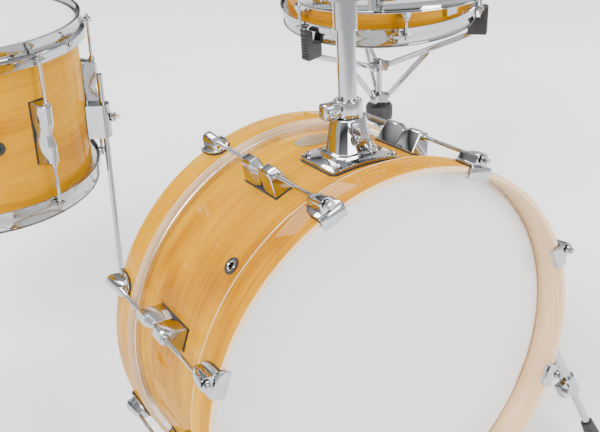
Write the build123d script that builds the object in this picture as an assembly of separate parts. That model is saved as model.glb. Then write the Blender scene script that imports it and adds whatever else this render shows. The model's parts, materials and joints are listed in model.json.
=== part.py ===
"""Acoustic drum kit: bass drum, rack tom on a ball arm, floor tom on three legs, snare drum on a stand.

Millimetres. +Z is up, the bass drum's front faces -Y, and the floor is Z = 0.
The kit is laid out about the middle of the bass drum, then moved as a whole so that the origin lies under
the middle of its bounding box.
"""
import math
import os

from build123d import *

# --- whole kit ---------------------------------------------------------------------------------------------
KIT_SHIFT = Vector(-92.4, -315.3, 0)    # from the bass drum's middle to the row's origin
CURVE_GAP = 0.3                         # between curved faces that would otherwise touch
CONTACT = 0.02                          # between a fixed piece and the curved face that it sits on

# --- bass drum, 20 by 8 inches -----------------------------------------------------------------------------
BASS_R = 253.5
BASS_HALF = 101.5                       # half the shell's depth
BASS_WALL = 7.0
BASS_TILT = 6.5                         # the spurs raise the front by this angle
BASS_LUG_AT = (67.5, 20.5, -20.5, -67.5, -112.5, -159.5, 159.5, 112.5)   # degrees above the +X side
BASS_LUG_LENGTH = 76.0
BASS_ROD_R = BASS_R + 24.5              # radius of the circle of tension rods
WOOD_HOOP_OUT = 266.5
WOOD_HOOP_IN = 259.5
WOOD_HOOP_BACK = 96.5                   # distance of the hoop's two edges from the drum's middle
WOOD_HOOP_FRONT = 141.0
FLESH_OUT = 260.8
CLAW_WIDTH = 32.0
LINER = 1.2                             # rubber between claw and hoop
GASKET = 1.2                            # rubber under every lug and bracket

# --- triple-flanged drums: radius, depth, lug count -----------------------------------------------
TOM_R, TOM_DEPTH, TOM_LUGS = 127.0, 127.0, 6
FLOOR_R, FLOOR_DEPTH, FLOOR_LUGS = 178.0, 254.0, 6
SNARE_R, SNARE_DEPTH, SNARE_LUGS = 178.0, 127.0, 6
SHELL_WALL = 6.0
EAR_R = 20.0                            # rod circle outside the shell's surface
ROD_R = 2.6
ROD_DEPTH = 14.0                        # how far a rod enters its lug
THREAD_GAP = 0.05

# --- rack tom's holder, in the bass drum's own frame ----------------------------------------------
POST_Y = -26.0
POST_R = 11.1
POST_TOP = 444.0
POST_BOTTOM = 150.0
BASE_TOP = 303.0
COLLAR_TOP = 324.0
CLAMP_BOTTOM = 405.0
BALL_Z = 458.0
BALL_R = 15.0
ARM_R = 5.5
TOM_X, TOM_Y, TOM_Z = 230.0, 197.0, 398.0   # lower bearing edge's middle

# --- spurs, in the bass drum's own frame ----------------------------------------------------------
SPUR_PIVOT = Vector(289.0, -70.0, -40.0)
SPUR_R = 7.2
SPUR_ROD_R = 5.5

# --- floor tom ------------------------------------------------------------------------------------
FLOOR_X, FLOOR_Y = -326.0, 580.5
FLOOR_BOTTOM = 343.0
FLOOR_LUG_AT = -68.0
FLOOR_LEG_AT = -22.0
FLOOR_LUG_LENGTH = 96.0
LEG_R = 4.8
LEG_OUT = 27.0                          # leg's axis outside the shell's surface
LEG_TOP = 508.0

# --- snare drum and stand -------------------------------------------------------------------------
STAND_X, STAND_Y = 472.5, 565.3
PIVOT_Z = 262.0                         # the basket tilts about this height
BASKET_LEAN = 4.0                       # degrees, towards -X
SNARE_UP = 254.2                        # snare's lower bearing edge above the pivot, along the basket's axis
SNARE_LUG_AT = -112.0
ARM_AT = -46.0
GRIP_R = SNARE_R + 16.0
TUBE_R, TUBE_WALL = 12.7, 1.6
TRIPOD_TOP = 165.0
TRIPOD_REACH = 235.0

nodes = {}


def add(name, *shapes):
    """Collect the solids of one node."""
    nodes.setdefault(name, []).extend(solid for shape in shapes for solid in shape.solids())


def ring(*profile):
    """Revolve a closed (radius, height) outline about Z."""
    face = make_face(Plane.XZ * Polyline(*profile, close=True))
    return revolve(face, Axis.Z)


def tube(outer, inner, low, high):
    return ring((inner, low), (outer, low), (outer, high), (inner, high))


def disc(radius, low, high):
    return Pos(0, 0, (low + high) / 2) * Cylinder(radius, high - low)


def block(x0, x1, y0, y1, z0, z1):
    return Pos((x0 + x1) / 2, (y0 + y1) / 2, (z0 + z1) / 2) * Box(x1 - x0, y1 - y0, z1 - z0)


def along(start, end):
    """A location at start whose Z axis points to end."""
    return Plane(origin=start, z_dir=Vector(end) - Vector(start)).location


def rod(start, end, radius):
    length = (Vector(end) - Vector(start)).length
    return along(start, end) * disc(radius, 0, length)


def bar(start, end, width, thickness, side):
    """A flat bar between two points; side is the direction of its width."""
    run = Vector(end) - Vector(start)
    plane = Plane(origin=start, x_dir=side, z_dir=run)
    return plane.location * block(-width / 2, width / 2, -thickness / 2, thickness / 2, 0, run.length)


def around(count, first=0.0):
    """Locations turned about Z at even steps."""
    return [Rot(0, 0, first + 360 / count * k) for k in range(count)]


def trapezoid(z, base, top, low, high):
    """A section across a lug, wide at the shell and narrow at its ridge."""
    outline = Polyline((low, -base), (high, -top), (high, top), (low, base), close=True)
    return Pos(0, 0, z) * make_face(outline)


def lug(shell_r, rod_r, length, seat=GASKET):
    """A waisted lug on the +X side of a shell, bored at both ends for the rods."""
    half = length / 2
    low = shell_r - 4
    crown = rod_r + 6.5
    stations = (
        (-half, 13.2, 5.8, crown),
        (-half * 0.42, 12.0, 5.4, crown - 1),
        (0, 9.6, 3.6, crown - 4.5),
        (half * 0.42, 12.0, 5.4, crown - 1),
        (half, 13.2, 5.8, crown),
    )
    body = loft([trapezoid(z, base, top, low, high) for z, base, top, high in stations], ruled=True)
    body -= disc(shell_r + seat, -length, length)
    for end in (-half, half):
        body -= Pos(rod_r, 0, end) * Cylinder(ROD_R + THREAD_GAP, 2 * ROD_DEPTH + 2)
    return body


def lug_gasket(shell_r, length, half_width=14.2):
    pad = block(shell_r - 8, shell_r + 8, -half_width, half_width, -length / 2 - 1, length / 2 + 1)
    return pad & tube(shell_r + GASKET - 0.02, shell_r, -length, length)


def tension_rod(rod_r, start, end, head=True):
    """A rod along Z from start to end on the +X side, with a washer and a square key head at its start."""
    way = 1 if end > start else -1
    shaft = Pos(rod_r, 0, 0) * disc(ROD_R, min(start, end), max(start, end))
    washer = Pos(rod_r, 0, start - way * 1.0) * Cylinder(5.6, 2.0)
    key = Pos(rod_r, 0, start - way * 5.0) * Box(5.6, 5.6, 6.0)
    return shaft + washer + key


def wing_bolt(spread=21.0, stem=16.0):
    """A wing bolt whose stem points to -Z; the wings stand above Z = 0."""
    hub = disc(8.0, 0, 9) + disc(4.0, -stem, 0)
    wing = Pos(0, 0, 7) * Rot(0, -22, 0) * block(4, spread, -2.2, 2.2, -4, 5)
    return hub + wing + Rot(0, 0, 180) * wing


# --- bass drum: modelled about Z with its front up, then laid on its side -------------------------
BASS_SIN = math.sin(math.radians(BASS_TILT))
BASS_COS = math.cos(math.radians(BASS_TILT))
BASS_HEIGHT = WOOD_HOOP_FRONT * BASS_SIN + WOOD_HOOP_OUT * BASS_COS
BASS_FRAME = Pos(KIT_SHIFT) * Pos(0, 0, BASS_HEIGHT) * Rot(-BASS_TILT, 0, 0)
BASS_AXIS = BASS_FRAME * Rot(90, 0, 0)


def bass_upright(shape):
    """Take a shape from the bass drum's own frame (Y back, Z up) into the kit."""
    return BASS_FRAME * shape


def bass_vent():
    """Grommet in the shell, on the +X side before it is turned into place."""
    barrel = Rot(0, 90, 0) * tube(6.4, 4.2, BASS_R - BASS_WALL - 3, BASS_R + 2.4)
    flange = Rot(0, 90, 0) * tube(10.5, 4.2, BASS_R - 1, BASS_R + 2.4)
    washer = Rot(0, 90, 0) * tube(9.0, 6.4, BASS_R - BASS_WALL - 3, BASS_R - BASS_WALL + 1)
    flange -= disc(BASS_R, -20, 20)
    washer = washer & disc(BASS_R - BASS_WALL - 0.1, -20, 20)
    return barrel + flange + washer


VENT_PLACE = Rot(0, 0, 90 + 46) * Pos(0, 0, 60)


def make_bass_shell():
    edge = 3.0
    shell = ring(
        (BASS_R - BASS_WALL, -BASS_HALF + edge),
        (BASS_R - 3, -BASS_HALF),
        (BASS_R, -BASS_HALF + 2),
        (BASS_R, BASS_HALF - 2),
        (BASS_R - 3, BASS_HALF),
        (BASS_R - BASS_WALL, BASS_HALF - edge),
    )
    shell -= VENT_PLACE * Rot(0, 90, 0) * disc(6.45, BASS_R - 30, BASS_R + 10)
    shell = BASS_AXIS * shell
    shell -= bass_upright(Pos(0, POST_Y, 0) * disc(POST_R + 1.5, 200, 300))
    add("bass_drum_shell", shell)
    add("bass_vent_grommet", BASS_AXIS * (VENT_PLACE * bass_vent()))


def make_bass_heads_and_hoops():
    collar = BASS_R + CURVE_GAP
    head = ring(
        (0, BASS_HALF),
        (collar, BASS_HALF),
        (collar, BASS_HALF - 14),
        (FLESH_OUT, BASS_HALF - 14),
        (FLESH_OUT, WOOD_HOOP_BACK - 0.2),
        (collar + 1.2, WOOD_HOOP_BACK - 0.2),
        (collar + 1.2, BASS_HALF + 0.6),
        (0, BASS_HALF + 0.6),
    )
    hoop = tube(WOOD_HOOP_OUT, WOOD_HOOP_IN, WOOD_HOOP_BACK, WOOD_HOOP_FRONT)
    hoop = fillet(hoop.edges().group_by(Axis.Z)[-1], 1.5)
    for side, turn in (("front", 0), ("back", 180)):
        add(f"bass_{side}_head", BASS_AXIS * Rot(turn, 0, 0) * head)
        add(f"bass_{side}_hoop", BASS_AXIS * Rot(turn, 0, 0) * hoop)


CLAW_GAP = 0.5                          # between the claw's saddle and its rubber liner


def claw():
    """Hook over the hoop on the +X side, with a tube for the rod."""
    inside = WOOD_HOOP_OUT + LINER
    front = WOOD_HOOP_FRONT + LINER
    half = CLAW_WIDTH / 2
    saddle = block(inside, inside + 3.2, -half, half, 106, front + 3.5)
    plate = block(WOOD_HOOP_IN - 7.5, inside + 3.2, -half, half, front, front + 3.5)
    lip = block(WOOD_HOOP_IN - 7.5, WOOD_HOOP_IN - 4.4, -half, half, front - 6, front + 3.5)
    barrel = Pos(BASS_ROD_R, 0, 0) * disc(7.2, 113, front - 1)
    web = block(inside + 1, BASS_ROD_R, -7.2, 7.2, 113, front - 1)
    body = saddle + barrel + web - disc(inside + CLAW_GAP, 90, front)
    body += plate + lip
    for side in (-half, half):
        body -= Pos(inside + 1, side, 106) * Rot(45, 0, 0) * Box(30, 16, 16)
    body -= Pos(BASS_ROD_R, 0, 0) * disc(ROD_R + 0.4, 90, 160)
    return body


def claw_liner():
    inside = WOOD_HOOP_OUT
    half = CLAW_WIDTH / 2 - 0.8
    top = tube(inside + LINER, inside, 108, WOOD_HOOP_FRONT) & block(200, 300, -half, half, 100, 150)
    lip = WOOD_HOOP_FRONT + LINER - 0.1
    front = block(WOOD_HOOP_IN - 4.2, inside + LINER, -half, half, WOOD_HOOP_FRONT, lip)
    corner = front & disc(inside + LINER, 100, 160)
    return top + corner


def make_bass_hardware():
    one_claw = claw()
    one_liner = claw_liner()
    one_lug = lug(BASS_R, BASS_ROD_R, BASS_LUG_LENGTH)
    one_gasket = lug_gasket(BASS_R, BASS_LUG_LENGTH)
    seat = WOOD_HOOP_FRONT + LINER - 1
    one_rod = tension_rod(BASS_ROD_R, seat, BASS_LUG_LENGTH / 2 - ROD_DEPTH)
    for angle in BASS_LUG_AT:
        turn = Rot(0, 0, angle)
        add("bass_lugs", BASS_AXIS * turn * one_lug)
        add("bass_shell_gaskets", BASS_AXIS * turn * one_gasket)
        for flip in (0, 180):
            place = BASS_AXIS * turn * Rot(flip, 0, 0)
            add("bass_claws", place * one_claw)
            add("bass_claw_liners", place * one_liner)
            add("bass_tension_rods", place * one_rod)


BADGE_Y = 51.0


def make_badge():
    plate = Pos(0, BADGE_Y, 0) * extrude(Ellipse(31, 18), amount=300) & block(-27.5, 27.5, 0, 100, 200, 300)
    skin = Rot(90, 0, 0) * tube(BASS_R + 0.9, BASS_R + 0.05, -BASS_HALF, BASS_HALF)
    add("shell_badge", bass_upright(plate & skin))


def make_tom_base():
    """Plate on the shell with a faceted tower that clamps the post."""
    seat = Rot(90, 0, 0) * disc(BASS_R + GASKET, -150, 150)
    plate = Pos(0, POST_Y, 0) * extrude(RectangleRounded(96, 78, 9), amount=300)
    plate = plate & (Rot(90, 0, 0) * tube(BASS_R + 5.2, BASS_R + GASKET, -150, 150))
    plate = plate & block(-60, 60, -100, 60, 200, 300)
    sections = ((250, 34, 28, 8), (262, 29, 24.5, 8), (264, 23.5, 21.5, 7), (BASE_TOP, 18.5, 17.5, 6))
    faces = [Pos(0, POST_Y, z) * chamfer(Rectangle(2 * a, 2 * b).vertices(), c) for z, a, b, c in sections]
    tower = loft(faces, ruled=True) - seat
    base = plate + tower
    base -= Pos(0, POST_Y, 0) * disc(POST_R + 0.06, 200, 400)
    base -= Pos(0, POST_Y, 281) * Rot(90, 0, 0) * disc(4.06, 5, 60)
    pad = Pos(0, POST_Y, 0) * extrude(RectangleRounded(98, 80, 10), amount=300)
    pad -= Pos(0, POST_Y, 0) * disc(POST_R + 3, 200, 400)
    pad = pad & (Rot(90, 0, 0) * tube(BASS_R + GASKET - 0.02, BASS_R + 0.02, -150, 150))
    pad = pad & block(-60, 60, -100, 60, 200, 300)
    for x in (-39, 39):
        for y in (POST_Y - 31, POST_Y + 31):
            foot = math.sqrt(BASS_R**2 - x**2)
            hole = Pos(x, y, 0) * disc(2.1, 230, 300)
            base -= hole
            pad -= hole
            screw = Pos(x, y, 0) * (disc(2.05, foot - 3, foot + 7) + disc(4.2, foot + 6.4, foot + 8.8))
            screw -= Rot(90, 0, 0) * disc(BASS_R + 0.02, -150, 150)
            add("tom_base_screws", bass_upright(screw))
    add("tom_base", bass_upright(base))
    add("bass_shell_gaskets", bass_upright(pad))
    bolt = Pos(0, POST_Y - 21.4, 281) * Rot(90, 0, 0) * Rot(0, 0, 118) * wing_bolt(21, 10.0)
    add("base_wing_bolt", bass_upright(bolt))


def make_post():
    post = Pos(0, POST_Y, 0) * tube(POST_R, POST_R - 1.8, POST_BOTTOM, POST_TOP)
    collar = Pos(0, POST_Y, 0) * tube(17.5, POST_R, BASE_TOP + 0.2, COLLAR_TOP)
    ear = block(-36, -13, POST_Y - 9, POST_Y + 9, BASE_TOP + 1, COLLAR_TOP - 1)
    ear -= Pos(0, POST_Y, 0) * disc(14, 200, 400)
    slit = block(-40, -9, POST_Y - 0.8, POST_Y + 0.8, 280, 340)
    screw_place = Pos(-27.5, POST_Y, (BASE_TOP + COLLAR_TOP) / 2) * Rot(90, 0, 0)
    screw = screw_place * (disc(2.6, -9, 12) + disc(5.2, 9, 13.5))
    ear -= screw_place * disc(2.6, -20, 20)
    add("tom_post", bass_upright(post))
    add("post_memory_collar", bass_upright(collar + ear - slit), bass_upright(screw))


# unit vector, in plan, from the post towards the rack tom
TO_TOM = Vector(TOM_X, TOM_Y - POST_Y, 0).normalized()
TOM_AZIMUTH = math.degrees(math.atan2(TO_TOM.Y, TO_TOM.X))
TOM_PLACE = BASS_FRAME * Pos(TOM_X, TOM_Y, TOM_Z)
LEG_SPAN = Vector(TOM_X, TOM_Y - POST_Y, 0).length - TOM_R - 24.0   # post to the arm's upright leg
BRACKET_LOW, BRACKET_HIGH = 424.0, 440.0


def make_tom_holder():
    """Clamp on the post with a ball socket, and the L-shaped arm."""
    place = Pos(0, POST_Y, 0) * Rot(0, 0, TOM_AZIMUTH)
    sleeve = tube(13.7, POST_R + 0.06, CLAMP_BOTTOM, BALL_Z - 20)
    housing = disc(23, BALL_Z - 20, BALL_Z + 20)
    housing = chamfer(housing.edges().group_by(Axis.Z)[-1], 4)
    housing -= disc(POST_R + 0.06, 300, POST_TOP + 0.5)
    housing -= Pos(0, 0, BALL_Z) * Sphere(BALL_R + 0.06)
    mouth_inside = Plane.YZ.offset(7) * Pos(0, BALL_Z) * Rectangle(15, 24)
    mouth_outside = Plane.YZ.offset(26) * Pos(0, BALL_Z) * Rectangle(17, 34)
    housing -= loft([mouth_inside, mouth_outside])
    clamp = sleeve + housing
    clamp -= Pos(0, 0, BALL_Z + 8) * Rot(0, -90, 0) * disc(4.06, 12, 40)
    add("tom_holder_clamp", bass_upright(place * clamp))
    wing = Pos(-23.4, 0, BALL_Z + 8) * Rot(0, -90, 0) * wing_bolt(22, 7)
    add("holder_wing_bolt", bass_upright(place * wing))
    bend = 16.0
    corner = Vector(LEG_SPAN, 0, BALL_Z)
    path = Polyline((0, 0, BALL_Z), tuple(corner), (LEG_SPAN, 0, BRACKET_LOW - 30))
    path = fillet(path.vertices().filter_by(lambda v: abs(v.Z - BALL_Z) < 1 and v.X > 1), bend)
    section = Plane(origin=(0, 0, BALL_Z), z_dir=(1, 0, 0)) * Circle(ARM_R)
    arm = sweep(section, path=path)
    ball = Pos(0, 0, BALL_Z) * Sphere(BALL_R)
    ball -= disc(POST_R, BALL_Z - 40, POST_TOP + 0.7)
    add("tom_arm", bass_upright(place * (arm + ball)))


def flanged_hoop(radius, lugs, first):
    """Triple-flanged steel hoop above the bearing edge at Z = 0, with an ear for each rod."""
    hoop = ring(
        (radius + 4.5, 11),
        (radius + 9.5, 11),
        (radius + 9.5, 9),
        (radius + 6.7, 9),
        (radius + 6.7, -8.4),
        (radius + 14, -10.4),
        (radius + 14, -24),
        (radius + 11.8, -24),
        (radius + 11.8, -12),
        (radius + 4.5, -9.9),
    )
    ear = block(radius + 11.9, radius + EAR_R + 6.5, -8, 8, -16.4, -12.4)
    ear -= Pos(radius + EAR_R, 0, 0) * disc(3.2, -30, 10)
    for turn in around(lugs, first):
        hoop += turn * ear
    return hoop


def batter_head(radius):
    collar = radius + CURVE_GAP
    return ring(
        (0, 0),
        (collar, 0),
        (collar, -18),
        (radius + 8, -18),
        (radius + 8, -12.4),
        (collar + 1.2, -12.4),
        (collar + 1.2, 0.6),
        (0, 0.6),
    )


def flanged_drum(name, place, radius, depth, lugs, first, lug_length, gaskets=False):
    """Shell, heads, hoops, lugs and rods of a drum that stands on Z = 0 in its own frame."""
    wall = radius - SHELL_WALL
    edge = radius - 2.5
    shell = ring((wall, 2), (edge, 0), (radius, 2), (radius, depth - 2), (edge, depth), (wall, depth - 2))
    top = Pos(0, 0, depth)
    bottom = Rot(180, 0, 0)
    head = batter_head(radius)
    hoop_top = flanged_hoop(radius, lugs, first)
    hoop_bottom = flanged_hoop(radius, lugs, -first)
    add(f"{name}_heads", place * top * head, place * bottom * head)
    add(f"{name}_hoops", place * top * hoop_top, place * bottom * hoop_bottom)
    seat = GASKET if gaskets else CONTACT
    one_lug = Pos(0, 0, depth / 2) * lug(radius, radius + EAR_R, lug_length, seat)
    one_gasket = Pos(0, 0, depth / 2) * lug_gasket(radius, lug_length)
    half = lug_length / 2
    one_rod = tension_rod(radius + EAR_R, -12.4, -(depth / 2 - half + ROD_DEPTH))
    for turn in around(lugs, first):
        add(f"{name}_lugs", place * turn * one_lug)
        if gaskets:
            add(f"{name}_gaskets", place * turn * one_gasket)
        add(f"{name}_tension_rods", place * top * turn * one_rod)
    for turn in around(lugs, -first):
        add(f"{name}_tension_rods", place * bottom * turn * one_rod)
    return shell


def make_rack_tom():
    shell = flanged_drum("rack_tom", TOM_PLACE, TOM_R, TOM_DEPTH, TOM_LUGS, TOM_AZIMUTH + 30, 44.0)
    add("rack_tom_shell", TOM_PLACE * shell)
    turn = Pos(0, POST_Y, 0) * Rot(0, 0, TOM_AZIMUTH)
    near = LEG_SPAN + 24.0                      # shell's surface on the post's side
    plate = block(near - 5, near + 12, -17, 17, BRACKET_LOW - 6, BRACKET_HIGH + 30)
    plate -= Pos(near + TOM_R, 0, 0) * disc(TOM_R + GASKET, 300, 600)
    boss = Pos(LEG_SPAN, 0, 0) * disc(13, BRACKET_LOW, BRACKET_HIGH)
    boss += block(LEG_SPAN, near - 2, -10, 10, BRACKET_LOW, BRACKET_HIGH)
    body = plate + boss
    body -= Pos(LEG_SPAN, 0, 0) * disc(ARM_R + 0.06, 300, 600)
    body -= Pos(near + TOM_R, 0, 0) * disc(TOM_R + GASKET, 300, 600)
    add("rack_tom_bracket", bass_upright(turn * body))


FLOOR_PLACE = Pos(KIT_SHIFT) * Pos(FLOOR_X, FLOOR_Y, FLOOR_BOTTOM)


def make_floor_tom():
    place = FLOOR_PLACE
    shell = flanged_drum(
        "floor_tom", place, FLOOR_R, FLOOR_DEPTH, FLOOR_LUGS, FLOOR_LUG_AT, FLOOR_LUG_LENGTH, gaskets=True
    )
    vent_turn = Rot(0, 0, -90) * Pos(0, 0, FLOOR_DEPTH / 2 - 8)
    shell -= vent_turn * Rot(0, 90, 0) * disc(6.45, FLOOR_R - 30, FLOOR_R + 10)
    sleeve = tube(6.4, 4.2, FLOOR_R - SHELL_WALL - 3, FLOOR_R + 2.4)
    flange = tube(10.5, 4.2, FLOOR_R - 1, FLOOR_R + 2.4)
    bored_wall = tube(FLOOR_R, FLOOR_R - SHELL_WALL, -20, 20) - Rot(0, 90, 0) * disc(6.42, 0, 300)
    vent = Rot(0, 90, 0) * (sleeve + flange) - bored_wall
    add("floor_tom_shell", place * shell)
    add("floor_tom_gaskets", place * vent_turn * vent)
    low, high = 60.0, 116.0
    leg_x = FLOOR_R + LEG_OUT
    bracket = block(FLOOR_R - 4, leg_x, -13, 13, low, high) + Pos(leg_x, 0, 0) * disc(11, low, high)
    bracket -= disc(FLOOR_R + GASKET, -20, 300)
    bracket -= Pos(leg_x, 0, 0) * disc(LEG_R + 0.06, -20, 300)
    bolt_z = (low + high) / 2 + 4
    bracket -= Pos(leg_x, 0, bolt_z) * Rot(0, 90, 0) * disc(4.06, 2, 30)
    wing = Pos(leg_x + 11.4, 0, bolt_z) * Rot(0, 90, 0) * Rot(0, 0, 64) * wing_bolt(30, 6.2)
    pad = lug_gasket(FLOOR_R, high - low, 14.0)
    floor = -FLOOR_BOTTOM
    leg = Pos(leg_x, 0, 0) * disc(LEG_R, floor + 12, LEG_TOP - FLOOR_BOTTOM)
    top = floor + 48
    foot = Pos(leg_x, 0, 0) * ring((0, floor), (11, floor), (12.5, floor + 8), (8.5, top), (0, top))
    foot -= Pos(leg_x, 0, 0) * disc(LEG_R, floor + 12, 300)
    for turn in around(3, FLOOR_LEG_AT):
        add("floor_tom_leg_brackets", place * turn * bracket)
        add("floor_tom_wing_bolts", place * turn * wing)
        add("floor_tom_gaskets", place * turn * Pos(0, 0, (low + high) / 2) * pad)
        add("floor_tom_legs", place * turn * leg)
        add("floor_tom_leg_feet", place * turn * foot)


BASKET = Pos(KIT_SHIFT) * Pos(STAND_X, STAND_Y, PIVOT_Z) * Rot(0, -BASKET_LEAN, 0)
SNARE_PLACE = BASKET * Pos(0, 0, SNARE_UP)
STRAINER_AT = SNARE_LUG_AT + 30.0 + 180.0


def make_snare_drum():
    place = SNARE_PLACE
    shell = flanged_drum("snare", place, SNARE_R, SNARE_DEPTH, SNARE_LUGS, SNARE_LUG_AT, 40.0)
    add("snare_drum_shell", place * shell)
    turn = Rot(0, 0, STRAINER_AT)
    body = block(SNARE_R - 4, SNARE_R + 15, -14, 14, 36, 88) - disc(SNARE_R + 0.02, 0, 200)
    body -= block(SNARE_R + 6.5, SNARE_R + 30, -7.5, 7.5, 30, 100)
    body -= Pos(SNARE_R + 11.5, 0, 46) * Rot(90, 0, 0) * Cylinder(2.55, 60)
    butt = block(SNARE_R - 4, SNARE_R + 10, -13, 13, 30, 56) - disc(SNARE_R + 0.02, 0, 200)
    add("snare_strainer", place * turn * body, place * turn * Rot(0, 0, 180) * butt)
    lever = block(SNARE_R + 9, SNARE_R + 14, -5.5, 5.5, 43, 92)
    lever += block(SNARE_R + 9, SNARE_R + 24, -7, 7, 92, 98)
    pin = Pos(SNARE_R + 11.5, 0, 46) * Rot(90, 0, 0) * Cylinder(2.5, 27)
    add("snare_throw_lever", place * turn * (lever + pin))
    wires = [block(-118, 118, y - 0.6, y + 0.6, -3.4, -1.6) for y in [-19 + 3.8 * k for k in range(11)]]
    ends = [block(s * 128 - 11, s * 128 + 11, -22, 22, -3.6, -1.4) for s in (-1, 1)]
    comb = ends[0] + ends[1]
    for wire in wires:
        comb += wire
    add("snare_wires", place * turn * comb)


HUB_HIGH, HUB_LOW = 139.0, 70.0


def make_snare_stand():
    """Basket in its own frame about the tilt pivot; tripod and tubes upright."""
    upright = Pos(KIT_SHIFT) * Pos(STAND_X, STAND_Y, 0)
    outer = tube(TUBE_R, TUBE_R - TUBE_WALL, 40, 205)
    collar = tube(24, TUBE_R + 0.02, TRIPOD_TOP - 22, TRIPOD_TOP)
    clamp = tube(19, TUBE_R + 0.02, 186, 212) - disc(TUBE_R + 0.02, 180, 205) - disc(9.56, 200, 230)
    for turn in around(3, 14):
        collar -= turn * block(15.0, 30, -5.1, 5.1, 120, 200)
        pin = turn * (Pos(20, 0, TRIPOD_TOP - 10) * Rot(90, 0, 0) * Cylinder(2.0, 20))
        collar -= pin
    add("stand_tube", upright * (outer + collar + clamp))
    inner = tube(9.5, 7.5, 110, PIVOT_Z - 16)
    fork = disc(12, PIVOT_Z - 24, PIVOT_Z + 9) - block(-20, 20, -6.2, 6.2, PIVOT_Z - 14, PIVOT_Z + 20)
    fork -= disc(7.5, 0, PIVOT_Z - 14)
    pin = Pos(0, 0, PIVOT_Z) * Rot(90, 0, 0) * Cylinder(3.0, 26)
    add("stand_height_tube", upright * (inner + fork + pin))
    knuckle = block(-9, 9, -6.0, 6.0, -9, 12) - Rot(90, 0, 0) * Cylinder(3.05, 40)
    stem = disc(6, 10, HUB_HIGH + 12)
    add("basket_stem", BASKET * (knuckle + stem))
    nut = tube(28, 6.06, 20, 55)
    nut = chamfer(nut.edges().filter_by(GeomType.CIRCLE).group_by(SortBy.RADIUS)[-1], 5)
    add("basket_nut", BASKET * nut)
    tip = SNARE_UP - 11 - 6.5
    arm_end = (GRIP_R - 30, 0, tip - 32)
    hub_lugs = ([], [])
    for turn in around(3, ARM_AT):
        arm = bar((15, 0, HUB_HIGH + 0.8), arm_end, 8, 11, (0, 1, 0))
        arm += bar((GRIP_R - 34, 0, tip - 34), (GRIP_R + 4, 0, tip - 14), 8, 9, (0, 1, 0))
        brace = bar((16, 0, HUB_LOW + 2), (43, 0, 106), 7, 11, (0, 1, 0))
        brace += bar((41, 0, 102), (99, 0, 174), 7, 11, (0, 1, 0))
        add("basket_arms", BASKET * turn * (arm + brace))
        slots = bar((14.9, 0, HUB_HIGH + 0.8), arm_end, 8.2, 11.2, (0, 1, 0))
        slots += bar((15.9, 0, HUB_LOW + 1.9), (43, 0, 106), 7.2, 11.2, (0, 1, 0))
        grip = block(GRIP_R - 22, GRIP_R + 16, -9, 9, tip - 24, tip + 5.7)
        grip += block(GRIP_R + 1.2, GRIP_R + 16, -9, 9, tip, tip + 31)
        grip -= bar((GRIP_R - 34, 0, tip - 34), (GRIP_R + 4, 0, tip - 14), 8.02, 9.02, (0, 1, 0))
        add("basket_grips", BASKET * turn * grip)
        for level, lugs in zip((HUB_HIGH, HUB_LOW), hub_lugs):
            lugs.append(turn * (block(6.02, 19, -9, 9, level - 8, level + 8) - slots))
    collars = [tube(11, 6.02, HUB_HIGH - 9, HUB_HIGH + 9), tube(10, 6.02, HUB_LOW - 9, HUB_LOW + 9)]
    for collar_ring, lugs in zip(collars, hub_lugs):
        add("basket_stem", BASKET * (collar_ring + lugs))
    for name, turn in zip(("front", "left", "right"), around(3, 14)):
        hinge = Vector(20, 0, TRIPOD_TOP - 10)
        foot = Vector(TRIPOD_REACH, 0, 14)
        leg = bar(tuple(hinge), tuple(foot), 10, 8.8, (0, 1, 0))
        leg += Pos(hinge) * Rot(90, 0, 0) * Cylinder(4.4, 10)
        leg -= Pos(hinge) * Rot(90, 0, 0) * Cylinder(2.0, 40)
        leg -= disc(TUBE_R + 1, 0, 300)
        pin = Pos(hinge) * Rot(90, 0, 0) * Cylinder(1.95, 20)
        shoe = Pos(TRIPOD_REACH + 2, 0, 0) * ring((0, 0), (10, 0), (12, 5), (10.5, 24), (0, 24))
        shoe -= bar(tuple(hinge), tuple(foot), 10.02, 8.82, (0, 1, 0))
        add(f"stand_leg_{name}", upright * turn * (leg + pin), upright * turn * shoe)


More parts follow.
